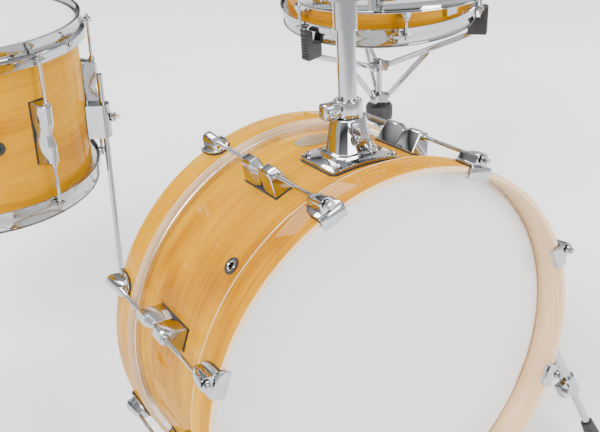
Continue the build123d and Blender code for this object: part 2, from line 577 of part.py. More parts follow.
def make_spurs():
    """Folding front legs, mirrored left and right."""
    foot_in_kit = Vector(380, -175, 0)
    y = foot_in_kit.Y * BASS_COS - (foot_in_kit.Z - BASS_HEIGHT) * BASS_SIN
    z = foot_in_kit.Y * BASS_SIN + (foot_in_kit.Z - BASS_HEIGHT) * BASS_COS
    foot = Vector(foot_in_kit.X, y, z)
    way = (foot - SPUR_PIVOT).normalized()
    reach = (foot - SPUR_PIVOT).length
    turn = along(SPUR_PIVOT, foot)
    sleeve = turn * tube(SPUR_R, SPUR_ROD_R + 0.06, 19, 132)
    clamp = turn * (tube(11.5, SPUR_ROD_R + 0.06, 122, 150) + block(9, 21, -7, 7, 126, 146))
    clamp_bolt = turn * (Pos(15, 0, 136) * Rot(90, 0, 0) * disc(3.4, 6, 15))
    eye = Pos(SPUR_PIVOT) * Rot(0, 90, 0) * disc(13, -6, 9)
    spur_tube = sleeve + clamp + clamp_bolt + eye + turn * disc(4.5, 0, 21) + turn * disc(SPUR_R, 19, 27)
    spur_tube -= Pos(SPUR_PIVOT) * Rot(0, 90, 0) * disc(4.06, -30, 30)
    spur_rod = turn * disc(SPUR_ROD_R, 60, reach - 22)
    shoe = turn * ring((0, reach - 73), (9, reach - 73), (14, reach - 20), (14, reach + 30), (0, reach + 30))
    shoe -= turn * disc(SPUR_ROD_R, 0, reach - 22)
    floor_block = BASS_FRAME.inverse() * (Pos(KIT_SHIFT) * block(0, 900, -700, 300, -300, 0))
    shoe -= floor_block
    plate = block(240, SPUR_PIVOT.X - 7, -86, -54, -62, -18)
    plate -= Rot(90, 0, 0) * disc(BASS_R + 0.3, -150, 150)
    post = Pos(SPUR_PIVOT) * Rot(0, 90, 0) * disc(4.0, -12, 13)
    cap = Pos(SPUR_PIVOT) * Rot(0, 90, 0) * disc(8.0, 9.4, 13)
    bracket = plate + post + cap
    for side, flip in (("right", False), ("left", True)):
        for name, shape in (
            (f"{side}_spur_tube", spur_tube),
            (f"{side}_spur_rod", spur_rod),
            (f"{side}_spur_foot", shoe),
            ("spur_brackets", bracket),
        ):
            placed = mirror(shape, Plane.YZ) if flip else shape
            add(name, bass_upright(placed))


make_bass_shell()
make_bass_heads_and_hoops()
make_bass_hardware()
make_badge()
make_tom_base()
make_post()
make_tom_holder()
make_rack_tom()
make_floor_tom()
make_snare_drum()
make_snare_stand()
make_spurs()

os.makedirs("parts", exist_ok=True)
for name, solids in nodes.items():
    shape = solids[0] if len(solids) == 1 else Compound(solids)
    export_step(shape, f"parts/{name}.step")
box = Compound([s for solids in nodes.values() for s in solids]).bounding_box()
print(len(nodes), "nodes; box", [round(v, 1) for v in (*box.min, *box.max)])
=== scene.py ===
"""Looks of the acoustic drum kit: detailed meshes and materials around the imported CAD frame, in metres."""
import json
import math

import bmesh
import bpy
from mathutils import Matrix, Vector


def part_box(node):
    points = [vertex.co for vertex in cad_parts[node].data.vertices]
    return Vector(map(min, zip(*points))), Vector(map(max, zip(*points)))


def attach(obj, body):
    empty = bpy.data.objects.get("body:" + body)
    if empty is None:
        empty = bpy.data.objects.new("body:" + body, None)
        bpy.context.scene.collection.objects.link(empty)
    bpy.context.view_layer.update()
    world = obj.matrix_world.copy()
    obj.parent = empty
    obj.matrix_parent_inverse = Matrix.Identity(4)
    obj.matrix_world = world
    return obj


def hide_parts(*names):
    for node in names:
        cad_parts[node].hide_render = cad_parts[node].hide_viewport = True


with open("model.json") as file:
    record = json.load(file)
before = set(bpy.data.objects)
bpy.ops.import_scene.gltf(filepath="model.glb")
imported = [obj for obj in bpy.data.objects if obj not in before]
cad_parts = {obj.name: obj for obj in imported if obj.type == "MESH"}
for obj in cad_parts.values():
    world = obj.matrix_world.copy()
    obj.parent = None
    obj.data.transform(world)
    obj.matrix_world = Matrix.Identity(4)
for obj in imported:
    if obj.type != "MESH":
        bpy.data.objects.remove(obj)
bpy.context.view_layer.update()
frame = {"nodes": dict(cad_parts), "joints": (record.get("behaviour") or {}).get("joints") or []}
JOINTS = {joint["name"]: joint for joint in frame["joints"]}
MM = 0.001
TAU = 2 * math.pi

# --- driving sizes in millimetres, as in the CAD model --------------------------------------------
BASS_R, BASS_HALF, BASS_LUG_LENGTH = 253.5, 101.5, 76.0
BASS_LUG_AT = (67.5, 20.5, -20.5, -67.5, -112.5, -159.5, 159.5, 112.5)
BASS_ROD_R = BASS_R + 24.5
HOOP_OUT, HOOP_IN, HOOP_BACK, HOOP_FRONT = 266.5, 259.5, 96.5, 141.0
FLESH_OUT = 260.8
LINER, GASKET = 1.2, 1.2
CLAW_HALF = 16.0
POST_Y, BASE_TOP, COLLAR_TOP, BALL_Z = -26.0, 303.0, 324.0, 458.0
POST_R, WING_Y, WING_Z, BADGE_Y = 11.1, -47.4, 281.0, 51.0
TOM_AT = math.degrees(math.atan2(223, 230))      # plan direction from the post to the rack tom
TOM_R, TOM_DEPTH = 127.0, 127.0
FLOOR_R, FLOOR_DEPTH, FLOOR_LUG_AT, FLOOR_LEG_AT, FLOOR_LUG_LENGTH = 178.0, 254.0, -68.0, -22.0, 96.0
SNARE_R, SNARE_DEPTH, SNARE_LUG_AT, SNARE_UP, ARM_AT = 178.0, 127.0, -112.0, 254.2, -46.0
HUB_HIGH, HUB_LOW, GRIP_R = 139.0, 70.0, 194.0
EAR_R, ROD_R, ROD_DEPTH = 20.0, 2.6, 14.0
FLANGED_LUGS = 6                        # lugs on each steel-hooped drum


# --- frames: a local millimetre frame for each drum -----------------------------------------------
def basis(origin, x, y, z):
    """Matrix that takes local millimetres to metres in the row frame."""
    turn = Matrix((x, y, z)).transposed().to_4x4()
    return Matrix.Translation(origin) @ turn @ Matrix.Scale(MM, 4)


def middle(node):
    low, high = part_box(node)
    return (low + high) / 2


X, Y, Z = Vector((1, 0, 0)), Vector((0, 1, 0)), Vector((0, 0, 1))
bass_up = Vector(JOINTS["post_height"]["axis"]).normalized()
bass_front = X.cross(bass_up)
bass_middle = middle("bass_drum_shell")
BASS = basis(bass_middle, X, bass_up, bass_front)
BASS_UPRIGHT = basis(bass_middle, X, -bass_front, bass_up)
TOM = basis(middle("rack_tom_shell") - bass_up * TOM_DEPTH * MM / 2, X, -bass_front, bass_up)
FLOOR = basis(middle("floor_tom_shell") - Z * FLOOR_DEPTH * MM / 2, X, Y, Z)
basket_up = Vector(JOINTS["snare_drum_lift"]["axis"]).normalized()
BASKET = basis(Vector(JOINTS["basket_tilt"]["pos_m"]), Y.cross(basket_up), Y, basket_up)
SNARE = BASKET @ Matrix.Translation((0, 0, SNARE_UP))


def turn_z(degrees):
    return Matrix.Rotation(math.radians(degrees), 4, "Z")


def turn_x(degrees):
    return Matrix.Rotation(math.radians(degrees), 4, "X")


def turn_y(degrees):
    return Matrix.Rotation(math.radians(degrees), 4, "Y")


def move(x, y, z):
    return Matrix.Translation((x, y, z))


def around(count, first=0.0):
    return [turn_z(first + 360 / count * k) for k in range(count)]


# --- mesh building --------------------------------------------------------------------------------
class Form:
    """Vertices and faces, with a material index for each face."""

    def __init__(self, verts=(), faces=(), slots=None):
        self.verts = [Vector(v) for v in verts]
        self.faces = [tuple(f) for f in faces]
        self.slots = list(slots) if slots else [0] * len(self.faces)

    def __add__(self, other):
        shift = len(self.verts)
        faces = self.faces + [tuple(i + shift for i in f) for f in other.faces]
        return Form(self.verts + other.verts, faces, self.slots + other.slots)

    def at(self, matrix):
        return Form([matrix @ v for v in self.verts], self.faces, self.slots)

    def paint(self, index):
        return Form(self.verts, self.faces, [index] * len(self.faces))

    def bevel(self, width, segments=2, angle=28):
        """Round every edge that is sharper than the angle."""
        mesh = bmesh.new()
        points = [mesh.verts.new(v) for v in self.verts]
        for face, slot in zip(self.faces, self.slots):
            made = mesh.faces.new([points[i] for i in face])
            made.material_index = slot
        bmesh.ops.recalc_face_normals(mesh, faces=mesh.faces[:])
        limit = math.radians(angle)
        sharp = [e for e in mesh.edges if len(e.link_faces) == 2 and e.calc_face_angle() > limit]
        bmesh.ops.bevel(
            mesh,
            geom=sharp,
            offset=width,
            segments=segments,
            profile=0.5,
            affect="EDGES",
            clamp_overlap=True,
        )
        mesh.verts.index_update()
        out = Form(
            [v.co.copy() for v in mesh.verts],
            [[v.index for v in f.verts] for f in mesh.faces],
            [f.material_index for f in mesh.faces],
        )
        mesh.free()
        return out


def total(forms):
    """One form from many."""
    whole = Form()
    for form in forms:
        whole = whole + form
    return whole


def skin(rings, closed=False, caps=True):
    """Quads between successive rings of equal length; closed joins the last ring to the first."""
    size = len(rings[0])
    verts = [p for ring in rings for p in ring]
    faces = []
    last = len(rings) if closed else len(rings) - 1
    for a in range(last):
        b = (a + 1) % len(rings)
        for i in range(size):
            j = (i + 1) % size
            faces.append((a * size + i, a * size + j, b * size + j, b * size + i))
    if caps and not closed:
        faces.append(tuple(reversed(range(size))))
        faces.append(tuple((len(rings) - 1) * size + i for i in range(size)))
    return Form(verts, faces)


def lathe(profile, segments=160):
    """Revolve a closed (radius, height) outline about Z; a point at radius 0 must not occur."""
    rings = []
    for k in range(segments):
        c, s = math.cos(TAU * k / segments), math.sin(TAU * k / segments)
        rings.append([(r * c, r * s, z) for r, z in profile])
    return skin(rings, closed=True)


def circle(radius, height, segments):
    turns = [TAU * k / segments for k in range(segments)]
    return [(radius * math.cos(turn), radius * math.sin(turn), height) for turn in turns]


def turned(steps, segments=32):
    """A solid of revolution from (radius, height) steps, capped at both ends."""
    return skin([circle(radius, height, segments) for radius, height in steps])


def block(x0, x1, y0, y1, z0, z1):
    low = [(x0, y0, z0), (x1, y0, z0), (x1, y1, z0), (x0, y1, z0)]
    return skin([low, [(x, y, z1) for x, y, z in low]])


def strip(path, thickness):
    """A flat band along (x, z, half width) stations, bent in the XZ plane."""
    rings = []
    for i, (x, z, half) in enumerate(path):
        x0, z0, _ = path[max(i - 1, 0)]
        x1, z1, _ = path[min(i + 1, len(path) - 1)]
        way = Vector((x1 - x0, 0, z1 - z0)).normalized()
        normal = Vector((-way.z, 0, way.x)) * thickness / 2
        here = Vector((x, 0, z))
        wide = Vector((0, half, 0))
        below, above = here - normal, here + normal
        rings.append([below - wide, above - wide, above + wide, below + wide])
    return skin(rings)


def profile_block(outline, half):
    """Extrude an (x, z) outline to both sides of Y = 0."""
    return skin([[(x, -half, z) for x, z in outline], [(x, half, z) for x, z in outline]])


def chamfered(half_x, half_y, corner, z, cy=0.0):
    a, b = half_x - corner, half_y - corner
    ring = [(-half_x, -b), (-a, -half_y), (a, -half_y), (half_x, -b)]
    ring += [(half_x, b), (a, half_y), (-a, half_y), (-half_x, b)]
    return [(x, y + cy, z) for x, y in ring]


def build(name, form, matrix, materials, body, *nodes, smooth=32):
    """Make the object, ride it on its body and let it stand for its CAD nodes."""
    mesh = bpy.data.meshes.new(name)
    mesh.from_pydata([matrix @ v for v in form.verts], [], form.faces)
    for material in materials:
        mesh.materials.append(material)
    mesh.polygons.foreach_set("material_index", form.slots)
    work = bmesh.new()
    work.from_mesh(mesh)
    bmesh.ops.recalc_face_normals(work, faces=work.faces[:])
    work.to_mesh(mesh)
    work.free()
    mesh.polygons.foreach_set("use_smooth", [True] * len(mesh.polygons))
    mesh.set_sharp_from_angle(angle=math.radians(smooth))
    piece = bpy.data.objects.new(name, mesh)
    bpy.context.scene.collection.objects.link(piece)
    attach(piece, body)
    if nodes:
        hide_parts(*nodes)
    return piece


# --- materials ------------------------------------------------------------------------------------
class Shader:
    """A Principled material and short helpers for its nodes."""

    def __init__(self, name, **inputs):
        self.material = bpy.data.materials.new(name)
        self.material.use_nodes = True
        self.tree = self.material.node_tree
        self.main = self.tree.nodes["Principled BSDF"]
        for key, value in inputs.items():
            self.main.inputs[key.replace("_", " ")].default_value = value

    def node(self, kind, **settings):
        made = self.tree.nodes.new(kind)
        for key, value in settings.items():
            setattr(made, key, value)
        return made

    def link(self, source, target):
        self.tree.links.new(source, target)

    def math(self, operation, a, b=None):
        made = self.node("ShaderNodeMath", operation=operation)
        for slot, value in enumerate((a, b)):
            if value is None:
                continue
            if isinstance(value, (int, float)):
                made.inputs[slot].default_value = value
            else:
                self.link(value, made.inputs[slot])
        return made.outputs[0]

    def noise(self, vector, scale, detail=3.0, distortion=0.0):
        made = self.node("ShaderNodeTexNoise")
        made.inputs["Scale"].default_value = scale
        made.inputs["Detail"].default_value = detail
        made.inputs["Distortion"].default_value = distortion
        self.link(vector, made.inputs["Vector"])
        return made.outputs["Fac"]

    def ramp(self, fac, *stops):
        made = self.node("ShaderNodeValToRGB")
        elements = made.color_ramp.elements
        while len(elements) < len(stops):
            elements.new(0.5)
        for element, (place, colour) in zip(elements, stops):
            element.position = place
            element.color = (*colour, 1) if len(colour) == 3 else colour
        self.link(fac, made.inputs["Fac"])
        return made.outputs["Color"]

    def mix(self, fac, a, b, blend="MIX"):
        made = self.node("ShaderNodeMix", data_type="RGBA", blend_type=blend)
        for socket, value in ((made.inputs[0], fac), (made.inputs[6], a), (made.inputs[7], b)):
            if isinstance(value, (int, float)):
                socket.default_value = value
            elif isinstance(value, tuple):
                socket.default_value = (*value, 1)
            else:
                self.link(value, socket)
        return made.outputs[2]

    def place(self):
        return self.node("ShaderNodeTexCoord").outputs["Object"]

    def grained(self, arc, height, stretch, seed, *noise):
        """Noise whose grain runs along the arc, squeezed by the stretch across it."""
        return self.noise(self.combine(arc, self.math("MULTIPLY", height, stretch), seed), *noise)

    def combine(self, x, y, z):
        made = self.node("ShaderNodeCombineXYZ")
        for slot, value in enumerate((x, y, z)):
            if isinstance(value, (int, float)):
                made.inputs[slot].default_value = value
            else:
                self.link(value, made.inputs[slot])
        return made.outputs[0]

    def bump(self, height, strength, distance):
        made = self.node("ShaderNodeBump")
        made.inputs["Strength"].default_value = strength
        made.inputs["Distance"].default_value = distance
        self.link(height, made.inputs["Height"])
        self.link(made.outputs[0], self.main.inputs["Normal"])

    def drum_coordinates(self, matrix):
        """(angle, radius, height) in metres and radians about a drum's axis."""
        rigid = matrix @ Matrix.Scale(1 / MM, 4)
        inverse = rigid.inverted()
        vector = self.place()
        outs = []
        for row in range(3):
            dot = self.node("ShaderNodeVectorMath", operation="DOT_PRODUCT")
            self.link(vector, dot.inputs[0])
            dot.inputs[1].default_value = inverse[row][:3]
            outs.append(self.math("ADD", dot.outputs["Value"], inverse[row][3]))
        x, y, z = outs
        angle = self.math("ARCTAN2", y, x)
        squares = self.math("ADD", self.math("MULTIPLY", x, x), self.math("MULTIPLY", y, y))
        radius = self.math("SQRT", squares)
        return angle, radius, z


HONEY_LIGHT, HONEY, HONEY_DEEP = (0.66, 0.325, 0.004), (0.54, 0.235, 0.002), (0.34, 0.115, 0.001)
RAW_BIRCH = (0.66, 0.44, 0.27)
LACQUER = {
    "Roughness": 0.5,
    "Specular_IOR_Level": 0.0,
    "Coat_Weight": 0.30,
    "Coat_Roughness": 0.03,
    "Coat_IOR": 1.4,
}


def lacquer_colour(shader, angle, height, shell_radius, seed):
    """Honey-stained figured veneer whose grain runs round the drum."""
    arc = shader.math("MULTIPLY", angle, shell_radius)
    broad = shader.grained(arc, height, 3.0, seed, 4.5, 2.0, 0.6)
    grain = shader.grained(arc, height, 22.0, seed + 3.0, 9.0, 5.0, 1.4)
    streak = shader.grained(shader.math("MULTIPLY", arc, 0.6), height, 60.0, seed, 14.0, 6.0, 2.0)
    base = shader.ramp(broad, (0.30, HONEY_DEEP), (0.48, HONEY), (0.72, HONEY_LIGHT))
    figured = shader.mix(0.30, base, shader.ramp(grain, (0.38, HONEY_DEEP), (0.60, HONEY_LIGHT)))
    dark = shader.ramp(streak, (0.62, (1, 1, 1)), (0.74, (0.80, 0.70, 0.55)))
    return shader.mix(0.55, figured, dark, "MULTIPLY"), grain


def lacquer(name, matrix, shell_radius, inside, seed):
    """Shell or hoop: lacquered outside, raw wood inside the given radius."""
    shader = Shader(name, **LACQUER)
    angle, radius, height = shader.drum_coordinates(matrix)
    colour, grain = lacquer_colour(shader, angle, height, shell_radius * MM, seed)
    arc = shader.math("MULTIPLY", angle, shell_radius * MM)
    raw = shader.ramp(
        shader.grained(arc, height, 14.0, seed, 16.0, 4.0, 0.5),
        (0.35, (0.74, 0.52, 0.34)),
        (0.65, RAW_BIRCH),
    )
    outer = shader.math("GREATER_THAN", radius, inside * MM)
    shader.link(shader.mix(outer, raw, colour), shader.main.inputs["Base Color"])
    shader.bump(grain, 0.03, 0.0004)
    return shader.material


def hoop_material():
    """Bass hoop: lacquered outside, ply lines on the two rims, raw wood inside."""
    shader = Shader("hoop_wood", **LACQUER)
    angle, radius, height = shader.drum_coordinates(BASS)
    colour, grain = lacquer_colour(shader, angle, height, HOOP_OUT * MM, 7.0)
    arc = shader.math("MULTIPLY", angle, HOOP_OUT * MM)
    raw = shader.ramp(
        shader.grained(arc, height, 14.0, 2.0, 14.0, 4.0, 0.5),
        (0.32, (0.66, 0.43, 0.23)),
        (0.68, (0.74, 0.52, 0.31)),
    )
    plies = shader.math("SINE", shader.math("MULTIPLY", radius, TAU / (1.75 * MM)))
    wood_edge = shader.ramp(
        shader.math("ADD", shader.math("MULTIPLY", plies, 0.5), 0.5),
        (0.15, (0.62, 0.36, 0.17)),
        (0.45, (0.84, 0.62, 0.42)),
        (0.9, (0.88, 0.68, 0.48)),
    )
    size = shader.math("ABSOLUTE", height)
    rim = shader.math("GREATER_THAN", size, (HOOP_FRONT - 0.55) * MM)
    outer = shader.math("GREATER_THAN", radius, (HOOP_OUT - 1.0) * MM)
    side = shader.mix(outer, raw, colour)
    back_edge = shader.math("LESS_THAN", size, (HOOP_BACK + 1.9) * MM)
    bare = shader.math("MULTIPLY", back_edge, outer)
    side = shader.mix(bare, side, (0.66, 0.48, 0.27))
    shader.link(shader.mix(rim, side, wood_edge), shader.main.inputs["Base Color"])
    shader.bump(grain, 0.03, 0.0004)
    return shader.material


def chrome_material(name="chrome", tint=(0.42, 0.43, 0.445), low=0.03, high=0.07):
    """Polished plating with faint unevenness."""
    shader = Shader(name, Metallic=1.0, Base_Color=(*tint, 1))
    cloud = shader.noise(shader.place(), 60.0, 3.0)
    rough = shader.node("ShaderNodeMapRange")
    rough.inputs["To Min"].default_value = low
    rough.inputs["To Max"].default_value = high
    shader.link(cloud, rough.inputs["Value"])
    shader.link(rough.outputs[0], shader.main.inputs["Roughness"])
    shader.bump(shader.noise(shader.place(), 35.0, 2.0), 0.05, 0.0006)
    return shader.material


def rubber_material():
    shader = Shader("black_rubber", Roughness=0.55)
    cloud = shader.noise(shader.place(), 90.0, 4.0)
    colour = shader.ramp(cloud, (0.3, (0.010, 0.010, 0.011)), (0.8, (0.028, 0.028, 0.030)))
    shader.link(colour, shader.main.inputs["Base Color"])
    shader.bump(shader.noise(shader.place(), 1400.0, 2.0), 0.12, 0.0002)
    return shader.material


def film_material(name, light, shade, roughness, grit):
    """Drum head: polyester film, smooth or with a sprayed coating."""
    shader = Shader(name, Roughness=roughness, IOR=1.5, Subsurface_Weight=0.06)
    cloud = shader.noise(shader.place(), 3.0, 2.0)
    shader.link(shader.ramp(cloud, (0.3, shade), (0.7, light)), shader.main.inputs["Base Color"])
    if grit:
        shader.bump(shader.noise(shader.place(), 1800.0, 2.0), 0.25, 0.00015)
    return shader.material


def brass_material():
    shader = Shader("badge_brass", Metallic=1.0)
    tone = shader.noise(shader.place(), 500.0, 3.0)
    colour = shader.ramp(tone, (0.35, (0.36, 0.27, 0.13)), (0.65, (0.66, 0.55, 0.34)))
    shader.link(colour, shader.main.inputs["Base Color"])
    shader.main.inputs["Roughness"].default_value = 0.34
    shader.bump(tone, 0.4, 0.0003)
    return shader.material


CHROME = chrome_material()
# Darker satin steel for the badge rivets; the same material also paints shade into the screw slots and the
# tom base's recess.
DARK_STEEL_AND_SHADE = chrome_material("dark_steel_and_painted_shade", (0.30, 0.30, 0.31), 0.2, 0.35)
ALUMINIUM = chrome_material("flesh_hoop_aluminium", (0.74, 0.70, 0.66), 0.22, 0.34)
RUBBER = rubber_material()
SMOOTH_FILM = film_material("smooth_white_film", (0.80, 0.805, 0.815), (0.765, 0.77, 0.785), 0.28, False)
COATED_FILM = film_material("coated_white_film", (0.80, 0.80, 0.79), (0.74, 0.74, 0.735), 0.55, True)
BRASS = brass_material()
HOOP_WOOD = hoop_material()
BASS_WOOD = lacquer("bass_lacquer", BASS, BASS_R, BASS_R - 1.0, 1.0)
TOM_WOOD = lacquer("rack_tom_lacquer", TOM, TOM_R, TOM_R - 1.0, 11.0)
FLOOR_WOOD = lacquer("floor_tom_lacquer", FLOOR, FLOOR_R, FLOOR_R - 1.0, 5.0)
SNARE_WOOD = lacquer("snare_lacquer", SNARE, SNARE_R, SNARE_R - 1.0, 17.0)


# --- camera, light and floor ----------------------------------------------------------------------
LENS = 50.3                              # on a 36 mm wide sensor
CAMERA_FROM_BASS = Vector((-0.5274, -0.7423, 0.6817))
CAMERA_TURN, CAMERA_DOWN, CAMERA_ROLL = 31.63, 29.24, 0.5


def add_camera():
    camera = bpy.data.objects.new("camera", bpy.data.cameras.new("camera"))
    camera.data.lens = LENS
    camera.data.sensor_width = 36
    camera.data.clip_start = 0.05
    camera.data.clip_end = 100
    camera.matrix_world = (
        Matrix.Translation(bass_middle + CAMERA_FROM_BASS)
        @ turn_z(-CAMERA_TURN)
        @ turn_x(90 - CAMERA_DOWN)
        @ turn_z(CAMERA_ROLL)
    )
    bpy.context.scene.collection.objects.link(camera)
    bpy.context.scene.camera = camera


def add_light(name, place, target, size, power, colour=(1, 1, 1)):
    lamp = bpy.data.lights.new(name, "AREA")
    lamp.shape = "RECTANGLE"
    lamp.size, lamp.size_y = size
    lamp.energy = power
    lamp.color = colour
    holder = bpy.data.objects.new(name, lamp)
    way = Vector(target) - Vector(place)
    holder.matrix_world = Matrix.Translation(place) @ way.to_track_quat("-Z", "Y").to_matrix().to_4x4()
    bpy.context.scene.collection.objects.link(holder)


def add_floor():
    mesh = bpy.data.meshes.new("floor")
    far = 60.0
    mesh.from_pydata([(-far, -far, 0), (far, -far, 0), (far, far, 0), (-far, far, 0)], [], [(0, 1, 2, 3)])
    shader = Shader("floor_paper", Roughness=0.9)
    cloud = shader.noise(shader.place(), 2.0, 2.0)
    colour = shader.ramp(cloud, (0.3, (0.93, 0.93, 0.93)), (0.7, (0.95, 0.95, 0.95)))
    shader.link(colour, shader.main.inputs["Base Color"])
    mesh.materials.append(shader.material)
    floor = bpy.data.objects.new("floor", mesh)
    bpy.context.scene.collection.objects.link(floor)


def set_world():
    """Pale studio with a dark band above the horizon, so that plated parts have something to reflect."""
    world = bpy.data.worlds.new("studio")
    world.use_nodes = True
    bpy.context.scene.world = world
    tree = world.node_tree
    back = tree.nodes["Background"]
    coord = tree.nodes.new("ShaderNodeTexCoord")
    split = tree.nodes.new("ShaderNodeSeparateXYZ")
    ramp = tree.nodes.new("ShaderNodeValToRGB")
    remap = tree.nodes.new("ShaderNodeMapRange")
    remap.inputs["From Min"].default_value = -1.0
    tree.links.new(coord.outputs["Generated"], split.inputs[0])
    tree.links.new(split.outputs["Z"], remap.inputs["Value"])
    tree.links.new(remap.outputs[0], ramp.inputs["Fac"])
    elements = ramp.color_ramp.elements
    for _ in range(3):
        elements.new(0.5)
    stops = ((0.47, 1.6), (0.58, 1.0), (0.63, 0.05), (0.76, 0.9), (1.0, 1.4))
    for element, (place, value) in zip(elements, stops):
        element.position = place
        element.color = (value, value, value * 1.01, 1)
    tree.links.new(ramp.outputs["Color"], back.inputs["Color"])
    back.inputs["Strength"].default_value = 1.0


add_camera()
set_world()
add_floor()
add_light("key", (-2.6, -1.2, 3.0), (0, -0.2, 0.3), (2.2, 1.6), 190)
add_light("front_fill", (0.9, -3.4, 1.9), (0, -0.2, 0.3), (1.6, 1.6), 110)
add_light("right_strip", (2.8, 0.2, 2.2), (0, -0.1, 0.3), (0.5, 2.2), 70)
add_light("back_top", (-0.2, 2.6, 3.0), (0, 0, 0.4), (2.4, 1.0), 110)


# --- shared hardware ------------------------------------------------------------------------------
def lug(shell_r, rod_r, length, seat=GASKET):
    """Waisted cast lug with a pinched ridge and a swivel nut in each mouth."""
    half = length / 2
    crown = rod_r + 6.3
    rings = []
    for u in (-1, -0.96, -0.36, -0.04, 0.04, 0.36, 0.96, 1):
        pinch = max(0.0, 1 - max(0.0, abs(u) - 0.04) / 0.32)
        at_end = abs(u) == 1
        base = 13.0 - 3.0 * pinch - 0.7 * at_end
        top = 5.9 - 2.6 * pinch - 0.7 * at_end
        high = crown - 4.6 * pinch - 0.9 * at_end
        foot = math.sqrt((shell_r + seat) ** 2 - base**2)
        z = u * half
        lean = math.copysign(3.2, u) if abs(u) > 0.9 else 0.0
        rings.append(
            [
                (foot, -base, z),
                (foot + 2.0, -base, z),
                (high - 3.5, -top - 1.6, z - lean * 0.8),
                (high, -top + 0.8, z - lean),
                (high, top - 0.8, z - lean),
                (high - 3.5, top + 1.6, z - lean * 0.8),
                (foot + 2.0, base, z),
                (foot, base, z),
                (shell_r + seat, 0, z),
            ]
        )
    body = skin(rings).bevel(0.5, 2, 16)
    for side in (0, 180):
        nut = turned([(3.4, half - 10), (5.0, half - 9), (5.0, half + 1.2), (4.0, half + 3.2)], 24)
        body = body + nut.at(turn_x(side) if side else Matrix()).at(move(rod_r, 0, 0))
    return body


def lug_pad(shell_r, length, half_width=14.2):
    """Thin rubber gasket that follows the shell."""
    rings = []
    for k in range(9):
        y = half_width * (k / 4 - 1)
        low, high = math.sqrt(shell_r**2 - y**2), math.sqrt((shell_r + GASKET) ** 2 - y**2)
        end = length / 2 + 1
        rings.append([(low, y, -end), (high, y, -end), (high, y, end), (low, y, end)])
    return skin(rings)


def tension_rod(rod_r, start, end, threads=16):
    """Rod with a flanged square key head; the last stretch is threaded."""
    way = 1 if end > start else -1
    steps = [(ROD_R, 0.0), (ROD_R, abs(end - start) * 0.55)]
    thread_start = abs(end - start) * 0.55
    pitch = (abs(end - start) - thread_start) / threads
    for k in range(threads):
        z = thread_start + k * pitch
        steps += [(ROD_R - 0.35, z + pitch * 0.25), (ROD_R, z + pitch * 0.75)]
    shaft = turned(steps, 20)
    head = turned([(ROD_R, 0.0), (5.3, -0.0), (5.6, -0.5), (5.6, -1.6), (4.6, -2.3), (3.4, -2.3)], 28)
    key = block(-2.8, 2.8, -2.8, 2.8, -8.0, -2.0).bevel(0.6, 2)
    whole = shaft + head + key
    if way < 0:
        whole = whole.at(turn_x(180))
    return whole.at(move(rod_r, 0, start))


def wing_bolt(spread, stem):
    """Cast wing bolt: domed hub and two swept wings."""
    hub = turned([(4.0, -stem), (4.0, -0.4), (7.4, 0), (8.0, 1.0), (8.0, 5.6), (6.6, 8.2), (2.0, 9.2)], 32)
    outline = [(3, 2.5), (9, 1.4), (14, 2.4), (spread - 3, 6.4), (spread - 0.6, 10.2), (spread - 1.6, 13.2)]
    outline += [(spread - 5, 13.8), (12, 10.4), (7, 8.2), (3, 7.6)]
    wing = profile_block(outline, 2.1).bevel(1.1, 2)
    return hub + wing + wing.at(turn_z(180))


def flanged_hoop(radius, lugs, first):
    """Triple-flanged steel hoop with rolled rims and an ear at each rod."""
    rim = [(4.5, 9.6), (5.0, 10.7), (6.2, 11.0), (8.6, 11.0)]
    rim += [(9.5, 10.3), (9.3, 9.4), (8.2, 9.2), (7.1, 8.6)]
    wall = [(6.7, 7.6), (6.7, -7.0), (7.2, -8.2), (8.4, -8.9), (12.6, -9.8), (13.8, -10.6), (14, -12.0)]
    skirt = [(14, -23.2), (13.4, -24.0), (12.3, -24.0), (11.8, -23.2), (11.8, -13.2), (11.2, -12.2)]
    inside = [(6.0, -10.6), (4.9, -10.0), (4.5, -9.0)]
    hoop = lathe([(radius + out, z) for out, z in rim + wall + skirt + inside], 192)
    ear = block(radius + 11.9, radius + EAR_R + 6.4, -7.8, 7.8, -16.3, -12.5).bevel(1.2, 2)
    return hoop + total(ear.at(turn) for turn in around(lugs, first))


def head(radius, top=0.0, flesh_out=8.0, ledge=-12.4, drop=-18.0):
    """Film with its collar, and the flesh hoop painted with the second material."""
    collar = radius + 0.3
    edge = [(collar, drop + 1), (collar + 1.0, drop + 1), (collar + 1.2, -2.2)]
    edge += [(collar + 0.7, -0.4), (collar - 0.8, 0.45)]
    film = turned(edge + [(radius - 4, 0.6), (radius * 0.66, 0.6), (radius * 0.33, 0.6), (0.5, 0.6)], 160)
    film = Form(film.verts, film.faces[:-2] + [film.faces[-1]])
    under = turned([(radius, 0.05), (0.5, 0.05)], 160)
    under = Form(under.verts, under.faces[:160] + [under.faces[-1]])
    outer = radius + flesh_out
    band = [(collar, drop), (outer - 0.6, drop), (outer, drop + 0.6)]
    band += [(outer, ledge - 0.6), (outer - 0.6, ledge), (collar + 1.2, ledge)]
    flesh = lathe(band, 160)
    return (film + under + flesh.paint(1)).at(move(0, 0, top))


